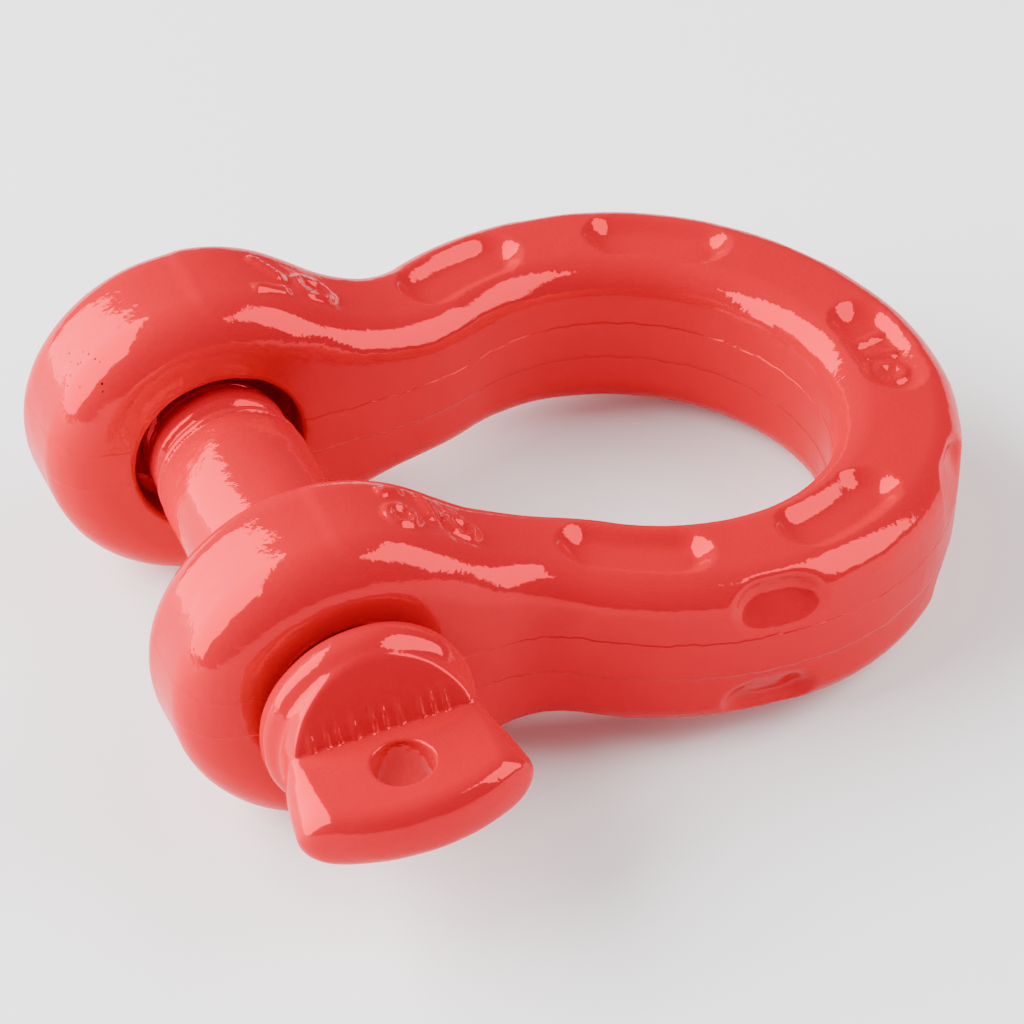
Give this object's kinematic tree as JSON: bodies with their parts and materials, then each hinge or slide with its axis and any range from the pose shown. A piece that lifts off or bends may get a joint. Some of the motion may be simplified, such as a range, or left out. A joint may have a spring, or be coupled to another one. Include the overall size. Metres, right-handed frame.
{
  "type": "screw-pin bow shackle",
  "caption": "Red-coated forged bow shackle closed by a screw pin with a collar and a flattened eye with a lanyard hole.",
  "frame": {"origin": "on the pin's axis, midway between the two ears", "axes": "+X from the pin to the crown of the bow, +Y along the pin from its eye to its thread, +Z square to the plane of the bow"},
  "size_m": [0.1248, 0.1137, 0.047],
  "materials": {
    "red_coat": "thick glossy red paint over a forged surface"
  },
  "bodies": {
    "bow": {"bow": "red_coat"},
    "pin_core": {"pin_shank": "red_coat"},
    "pin": {"pin_head": "red_coat", "pin_thread": "red_coat"}
  },
  "joints": [
    {"name": "pin_travel", "type": "slide", "parent": "bow", "child": "pin_core", "axis": [0, -1, 0], "range_m": [-0.00125, 0.0825]},
    {"name": "pin_turn", "type": "hinge", "parent": "pin_core", "child": "pin", "pos_m": [0, 0, 0], "axis": [0, -1, 0], "range_deg": [-180, 11880]}
  ],
  "couplings": [
    {"joint": "pin_turn", "follows": "pin_travel", "rad_per_m": 2513.3}
  ]
}
